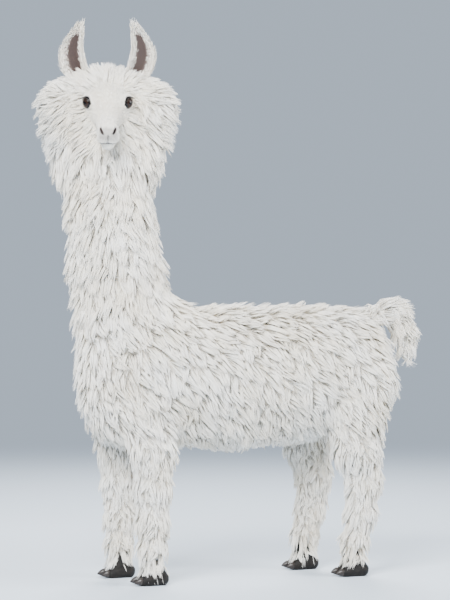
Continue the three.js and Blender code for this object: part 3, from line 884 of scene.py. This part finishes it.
def strands(name, paths, widths, faces_up, tone, dark, unwrap, finish):
    """One closed mesh of tapered strands. paths holds each strand's rings and its tip, widths
    its width at each ring, faces_up the direction that its broad side faces."""
    count, stops = paths.shape[:2]
    rings = stops - 1
    tip = rings * SIDES
    tangent = unit(np.gradient(paths, axis=1))
    side = unit(np.cross(tangent, faces_up[:, None, :]))
    top = np.cross(side, tangent)
    points = np.empty((count, tip + 1, 3))
    for k in range(SIDES):
        angle = np.pi / 2 + 2 * np.pi * k / SIDES
        reach = (side * math.cos(angle) + 0.6 * top * math.sin(angle))[:, :rings]
        points[:, k:tip:SIDES] = paths[:, :rings] + 0.5 * widths[:, :, None] * reach
    points[:, -1] = paths[:, -1]
    pattern = [[2, 1, 0]]
    for ring in range(rings - 1):
        for k in range(SIDES):
            a, b = ring * SIDES + k, ring * SIDES + (k + 1) % SIDES
            pattern += [[a, b, b + SIDES], [a, b + SIDES, a + SIDES]]
    last = tip - SIDES
    pattern += [[last + k, last + (k + 1) % SIDES, tip] for k in range(SIDES)]
    pattern = np.array(pattern)
    corners = (pattern[None] + (tip + 1) * np.arange(count)[:, None, None]).ravel()

    mesh = bpy.data.meshes.new(name)
    mesh.vertices.add(count * (tip + 1))
    mesh.vertices.foreach_set("co", metres(points.reshape(-1, 3)).ravel())
    mesh.loops.add(len(corners))
    mesh.loops.foreach_set("vertex_index", corners)
    mesh.polygons.add(len(corners) // 3)
    mesh.polygons.foreach_set("loop_start", np.arange(0, len(corners), 3))
    mesh.update(calc_edges=True)
    smoothed = np.ones(len(pattern), bool)
    smoothed[[0, -1, -2, -3]] = False  # root and tip
    mesh.polygons.foreach_set("use_smooth", np.tile(smoothed, count))

    along = np.append(np.repeat(np.linspace(0, 1, stops)[:rings], SIDES), 1)
    across = np.append(np.tile(np.arange(SIDES) / (SIDES - 1), rings), 0.5)
    give(mesh, "along", np.tile(along, count))
    give(mesh, "across", np.tile(across, count))
    give(mesh, "tone", np.repeat(tone, tip + 1))
    give(mesh, "dark", np.repeat(dark, tip + 1))
    local = np.stack([across, along], 1) * TUFT_PATCH
    uv = (unwrap[:, None] + local[None]).reshape(-1, 2)[corners]
    mesh.uv_layers.new(name="OFBake").data.foreach_set("uv", uv.astype(np.float32).ravel())
    mesh.materials.append(finish)
    made = into_scene(name, mesh)
    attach(made, "root")
    return made


def lay(roots, lie, length, height, lock_size, width, fly, curl=(0.6, 0.5, 2.0), ground=skin_depth):
    """Paths and widths of strands that lie along the ground. Each leaves its root outwards, then
    follows the lie, length along it and height above it. Half the locks fly out by a share of
    that. curl: how far wisps gather, how far locks draw together, and the width of waves."""
    gather, draw, crimp = curl
    stops = 3  # root, middle and tip
    count = len(roots)
    normal = slope(ground, roots)
    wisp = in_clumps(roots, 4)
    lock = in_clumps(roots, lock_size)[wisp]
    flat = unit(lie - (lie * normal).sum(1, keepdims=True) * normal)
    aside = np.cross(normal, flat)
    turn = rng.normal(0, 0.24, count)[lock] + rng.normal(0, 0.12, count)[wisp]
    flat = flat * np.cos(turn)[:, None] + aside * np.sin(turn)[:, None]
    aside = np.cross(normal, flat)
    length = length * rng.uniform(0.75, 1.1, count)[lock] * rng.uniform(0.8, 1.12, count)
    height = height * rng.uniform(0.7, 1.05, count)[lock] * rng.uniform(0.8, 1.0, count)
    stray = np.where(rng.random(count) < 0.5, rng.uniform(*fly, count), 0)[lock] * height
    phase = rng.uniform(0, 2 * np.pi, count)[wisp]
    t = np.linspace(0, 1, stops)
    rise = 1 - (1 - t) ** 1.7
    wave = crimp * t * np.sin(phase[:, None] + 4.5 * t)
    paths = (
        roots[:, None]
        + flat[:, None] * (length[:, None] * t**1.15)[..., None]
        + normal[:, None] * (height[:, None] * rise + stray[:, None] * t**2 - 1.5)[..., None]
        + aside[:, None] * wave[..., None]
    )
    for group, pull in ((wisp, gather * t**1.2), (lock, draw * t**1.4)):
        pull = pull[None, :, None]
        paths = paths * (1 - pull) + paths[group] * pull
    for stop in range(1, stops):
        place = paths[:, stop]
        buried = np.maximum(0.8 + 0.5 * t[stop] * height - ground(*place.T), 0)
        place = place + normal * buried[:, None]
        level = np.maximum(place, (-np.inf, -np.inf, FOOT_TOP))
        proud = np.maximum(outline(*level.T) + 0.5 - stray * t[stop] ** 2, 0)
        paths[:, stop] = place - normal * proud[:, None]
        paths[:, stop, 2] = np.maximum(paths[:, stop, 2], 3)  # over the floor
    taper = np.interp(t[:-1], [0, 0.35, 0.7, 1], [0.8, 1.0, 0.66, 0.1])
    widths = width * taper * rng.uniform(0.7, 1.2, count)[:, None]
    return paths, widths, normal, lock, wisp


NECK_BASE_HEIGHT = 880  # on the middle of the neck


def above_withers(places):
    """Millimetres above the sloping plane from withers to breast, where the neck begins."""
    return (places[:, 2] - NECK_BASE_HEIGHT) * 0.93 - (places[:, 0] - NECK_X) * 0.36


def on_leg(places):
    near = np.zeros(len(places), bool)
    for x, side, front in FEET.values():
        near |= (np.abs(places[:, 0] - x - 10) < 120) & (places[:, 1] * side > 25)
    return near & (places[:, 2] < 430)


COAT = {  # square millimetres of skin to a strand, strands to a lock, width of a strand, fly
    "face": (3.2, 9, 1.3, (0.15, 0.45)),
    "ruff": (14, 24, 3.4, (0.3, 1.0)),
    "neck": (17, 24, 3.8, (0.25, 0.7)),
    "trunk": (29, 22, 4.5, (0.2, 0.65)),
    "legs": (25, 16, 3.8, (0.15, 0.45)),
    "tail": (11, 16, 3.5, (0.3, 0.8)),
}


def part_of(places):
    """The piece of coat that a place belongs to. A later line overrules those before it."""
    part = np.full(len(places), "trunk")
    part[on_leg(places)] = "legs"
    part[(places[:, 0] > 540) | ((places[:, 0] > 478) & (places[:, 2] > 800))] = "tail"
    part[above_withers(places) > 0] = "neck"
    part[places[:, 2] > 1435] = "ruff"
    part[in_face(places)] = "face"
    return part


def crowd(places):
    """Strands to a square millimetre of skin: more beside the face, none on bare hide."""
    rooms = np.array([COAT[part][0] for part in part_of(places)])
    f, l, u = in_head(*places.T)
    by_face = (f > 20) & (u > -130) & (-outline(*places.T) < 22)
    rooms = np.where(by_face, np.minimum(rooms, 6), rooms)
    bare = (from_lids(f, l, u) < 3.2) | (markings(places) * in_face(places) > 0.5)
    return np.where(bare | (places[:, 2] < 56), 0, 1 / rooms)


def blend(a, b, share):
    return a + (b - a) * share[:, None]


def grain(places):
    """The lie of the coat: over the crown, down the cheeks, neck and legs, and down and back
    over the trunk. Each runs into the next."""
    x, y, z = places.T
    f, l, u = in_head(x, y, z)
    none = np.zeros(len(places))
    trunk = np.stack([none + 0.5, 0.3 * np.tanh(y / 60), none - 1], 1)
    down = np.stack([none, none, none - 1], 1)
    crown = np.stack([none - 0.9, l / 90, none + 0.1], 1) @ head_axes
    cheek = np.stack([-0.75 * smooth(0, 70, f), 0.25 * np.tanh(l / 40), none - 0.7], 1)
    neck = smooth(-60, 90, above_withers(places))
    lie = blend(trunk, down, np.maximum(neck, smooth(550, 400, z)))
    head = blend(cheek @ head_axes, crown, smooth(20, 80, u))
    return blend(lie, head, smooth(1370, 1470, z))


def dress(part, which, places, lie, length, height, unwrap, more_fly=0, **how):
    """A piece of one part of the coat, with strands from these roots."""
    _, *locks, fly = COAT[part]
    fly = [share + more_fly for share in fly]
    paths, widths, normal, lock, wisp = lay(places, lie, length, height, *locks, fly, **how)
    chance = rng.random(len(places))
    tone = 0.45 * chance[lock] + 0.35 * chance[wisp] + 0.2 * chance
    dark = markings(places)
    piece = strands(f"coat_{part}{which}", paths, widths, normal, tone, dark, unwrap, wool)


def gap_at(places):
    """Depth of the coat over each root."""
    return np.maximum(-outline(*places.T), 1.0)


roots = scatter(skin.data, crowd)
on_body = np.minimum(body_skin(*roots.T), head_skin(*in_head(*roots.T)))
roots = roots[np.abs(on_body) < 2.5]  # the ears have their own hair
parts = part_of(roots)

# The trunk's wool parts along the back, hangs down the sides and sweeps to the rear.
trunk = roots[parts == "trunk"]
trunk = trunk[np.argsort(trunk[:, 0])]
for which, places in zip(("_fore", "_middle", "_rear"), np.array_split(trunk, 3)):
    gap = gap_at(places)
    belly = smooth(-0.5, -0.9, slope(skin_depth, places)[:, 2])  # here it hangs
    length = (1.8 * gap + 14) * (1 - 0.5 * belly)
    ring = np.arctan2(places[:, 1], places[:, 2] - 660)
    unwrap = squared(places[:, 0], ring, (-640, -np.pi), (640, np.pi))
    dress("trunk", which, places, grain(places), length, gap, unwrap)

# The neck's wool hangs straight down in the longest, heaviest locks.
neck = roots[parts == "neck"]
neck = neck[np.argsort(neck[:, 2])]
for which, places in zip(("_lower", "_upper"), np.array_split(neck, 2)):
    gap = gap_at(places)
    ring = np.arctan2(places[:, 1] - 12, places[:, 0] - NECK_X)
    unwrap = squared(ring, places[:, 2], (-np.pi, 700), (np.pi, 1500))
    dress("neck", which, places, grain(places), 2.3 * gap + 14, gap, unwrap)

# The ruff stands round the face like a collar: down from the cheeks, back over the crown.
collar = roots[parts == "ruff"]
gap = gap_at(collar)
f, l, u = in_head(*collar.T)
unwrap = squared(np.arctan2(l, u + 20), f - 0.4 * u, (-np.pi, -190), (np.pi, 200))
dress("ruff", "", collar, grain(collar), 2.1 * gap + 14, gap, unwrap)

# Short hair on the face runs back from the nose, and is shortest on the nose and by the lids.
face = roots[parts == "face"]
on_left = in_head(*face.T)[1] > 0
for which, places in (("_left", face[on_left]), ("_right", face[~on_left])):
    f, l, u = in_head(*places.T)
    gap = gap_at(places)
    lie = np.stack([-1 + 0 * f, 0.3 * np.tanh(l / 20), 0.25 * np.tanh((u + 20) / 20)], 1)
    fine = (1 - 0.5 * smooth(235, 280, f)) * smooth(-4, 16, from_lids(f, l, u, 40))
    length = (8 + 1.2 * gap) * fine
    height = np.minimum(0.7 * gap, 1.0 + 0.4 * gap) * fine
    unwrap = squared(np.arctan2(l, u + 20), f, (-np.pi, 30), (np.pi, 305))
    curl = (0.25, 0.2, 0.5)
    dress("face", which, places, lie @ head_axes, length, height, unwrap, curl=curl)

# Legs: shorter wool, in locks that hang over the tops of the toes.
legs = roots[parts == "legs"]
for which, places in (("_fore", legs[legs[:, 0] < -50]), ("_hind", legs[legs[:, 0] >= -50])):
    gap = gap_at(places)
    ring = np.arctan2(np.abs(places[:, 1]) - TRACK, places[:, 0] - places[:, 0].mean())
    ring = np.where(places[:, 1] > 0, ring, ring + 2 * np.pi + 0.4)
    unwrap = squared(ring, places[:, 2], (-np.pi, 50), (3 * np.pi + 0.4, 500))
    length = 2.0 * gap + 16
    dress("legs", which, places, grain(places), length, gap, unwrap, ground=skin_and_feet)

# The tail's wool follows the bone over the arch and hangs past its tip.
tail = roots[parts == "tail"]
bone = np.array([place for place, _ in TAIL], float)
nearest = np.linalg.norm(tail[:, None] - bone[None], axis=2).argmin(1)
lie = unit(np.gradient(bone, axis=0))[nearest] + np.array([0, 0, -0.35])
gap = gap_at(tail)
ring = np.arctan2(tail[:, 1], tail[:, 0] - 560)
unwrap = squared(ring, tail[:, 2], (-np.pi, 700), (np.pi, 950))
facing = slope(skin_depth, tail)
inner = smooth(0.2, 0.8, -facing[:, 0] - 0.5 * facing[:, 2])  # these fill the gap to the rump
dress("tail", "", tail, lie, 2.2 * gap + 14, gap, unwrap, more_fly=0.9 * inner)

# Ears: fine hair that runs up to the tip, longest along the edges, with a fringe into the cup.
EAR_STRANDS = 4400
for side, name in LEFT_AND_RIGHT:
    t = rng.uniform(0.02, 0.94, 2 * EAR_STRANDS)
    angle = rng.uniform(0, 2 * np.pi, 2 * EAR_STRANDS)
    bare = smooth(0.8, 0.95, -np.cos(angle)) * smooth(0.9, 0.75, t) * smooth(0.08, 0.16, t)
    keep = rng.random(len(t)) < (1 - 0.35 * t) * (1 - bare) * (bare < 0.9)
    t, angle = t[keep][:EAR_STRANDS], angle[keep][:EAR_STRANDS]
    count = len(t)

    def on_ear(dt=0.0, turned=0.0):
        return from_head(ear_surface(side, t + dt, angle + turned))

    root = on_ear()
    upwards = unit(on_ear(0.01) - on_ear(-0.01))
    aside = unit(on_ear(0, 0.02) - on_ear(0, -0.02))
    out = unit(np.cross(aside, upwards))
    edge = np.abs(np.sin(angle)) ** 6
    length = 11 + 13 * edge + 8 * smooth(0.75, 0.94, t)
    wisp = in_clumps(root, 5)
    inwards = np.where(np.cos(angle) < 0.2, -np.sign(np.sin(angle)) * np.cos(angle), 0) * edge
    bend = rng.normal(0, 0.15, count) + 0.8 * inwards
    lie = unit(upwards + aside * bend[:, None] + 0.22 * out)
    s = np.linspace(0, 1, 3)
    paths = root[:, None] + lie[:, None] * (length[:, None] * s)[..., None]
    paths = paths + out[:, None] * (1.8 * np.sin(np.pi * s * 0.7))[None, :, None]
    pull = (0.6 * s)[None, :, None]
    paths = paths * (1 - pull) + paths[wisp] * pull
    widths = 2.0 * np.array([0.9, 0.8]) * rng.uniform(0.7, 1.2, (count, 1))
    unwrap = squared(angle, t, (0, 0), (2 * np.pi, 1))
    piece = strands(f"coat_ear_{name}", paths, widths, out, rng.random(count), 0 * t, unwrap, wool)

# Lashes: long dark hairs that curve out and down from the upper lid.
LASHES = 90
LASH_LENGTH = 17
lash_black, tree = material("dark_lash_hair")
along = add(tree, "Attribute", {"attribute_name": "along"}).outputs["Fac"]
shade = add(tree, "ValToRGB", {"stops": [(0.0, "#120d0b"), (1.0, "#2e2520")]}, Fac=along)
surface = add(tree, "BsdfPrincipled", Base_Color=shade, Roughness=0.5)
add(tree, "OutputMaterial", Surface=surface)
for side, name in LEFT_AND_RIGHT:
    across = rng.uniform(-20, 19, LASHES)
    rise = 17.2 * (1 - np.abs(across / LID_HALF) ** LID_BEND) - LID_TILT * across
    rise = rise + rng.uniform(-0.6, 0.8, LASHES)
    out = np.sqrt((EYE_RADIUS + LID - 0.6) ** 2 - across**2 - rise**2)
    long = LASH_LENGTH * rng.uniform(0.75, 1.1, LASHES) * (1 - 0.4 * (across / LID_HALF) ** 2)
    fan = across / 26 + rng.normal(0, 0.06, LASHES)
    stops = np.linspace(0, 1, 5)
    reach = long[:, None] * stops
    paths = from_eye(
        side,
        across[:, None] + fan[:, None] * reach * 0.6,
        rise[:, None] + reach * (0.35 - 0.75 * stops),
        out[:, None] + reach * (0.85 - 0.25 * stops),
    )
    widths = 0.75 * np.array([1.0, 0.85, 0.65, 0.4]) * np.ones((LASHES, 1))
    faces_up = np.tile(UP, (LASHES, 1))
    unwrap = squared(across, rise, (-25, -25), (25, 25))
    lashes = strands(
        f"lashes_{name}", paths, widths, faces_up, rng.random(LASHES), 0 * rise, unwrap, lash_black
    )

# -------------------- stage
# A pale floor that runs into the studio's air, three soft lamps, and the camera, which stands
# level with the back and sees the left side from a little ahead.

AIR = "#bccbdc"  # the studio's far wall and light
AIR_STRENGTH = 0.95

FLOOR_HALF = 30  # metres
corners = FLOOR_HALF * np.array([(-1, -1, 0), (1, -1, 0), (1, 1, 0), (-1, 1, 0)])
floor = mesh_object("floor", corners, [(0, 1, 2, 3)])

# Matt paint that fades into the studio's air between 1.6 and 6 m away, so no edge shows.
paint, tree = material("pale_floor")
place = add(tree, "TexCoord").outputs["Object"]
far = add(tree, "VectorMath", {"operation": "LENGTH"}, _0=place).outputs["Value"]
far = add(tree, "MapRange", Value=far, From_Min=1.6, From_Max=6.0)
matt = add(tree, "BsdfPrincipled", Base_Color=linear("#ccd7e2"), Roughness=0.8)
haze = add(tree, "Emission", Color=linear(AIR), Strength=AIR_STRENGTH)
fade = add(tree, "MixShader", Fac=far, _1=matt, _2=haze)
add(tree, "OutputMaterial", Surface=fade)
floor.data.materials.append(paint)

world = bpy.data.worlds.new("studio")
world.use_nodes = True
background = world.node_tree.nodes["Background"]
background.inputs["Color"].default_value = linear(AIR)
background.inputs["Strength"].default_value = AIR_STRENGTH
bpy.context.scene.world = world


def pointed(name, data, place, direction):
    made = into_scene(name, data)
    made.location = place
    made.rotation_mode = "QUATERNION"
    made.rotation_quaternion = direction.to_track_quat("-Z", "Y")
    return made


def lamp(name, place, aim, size, watts):
    light = bpy.data.lights.new(name, "AREA")
    light.size, light.energy = size, watts
    pointed(name, light, place, Vector(aim) - Vector(place))


lamp("key", (-2.6, -3.4, 3.6), (0, 0, 0.9), 2.4, 700)
lamp("fill", (3.6, -2.6, 2.2), (0, 0, 0.8), 3.0, 300)
lamp("rim", (1.2, 3.6, 3.2), (0, 0, 1.0), 2.4, 340)

AIM = Vector((-0.038, 0.0, 0.909))
CAMERA_DISTANCE = 9.0
azimuth, elevation = math.radians(-20.0), math.radians(1.5)
level = math.cos(elevation)
back = Vector((math.sin(azimuth) * level, -math.cos(azimuth) * level, math.sin(elevation)))
camera_data = bpy.data.cameras.new("camera")
camera_data.lens = 165
camera = pointed("camera", camera_data, AIM + back * CAMERA_DISTANCE, -back)
bpy.context.scene.camera = camera
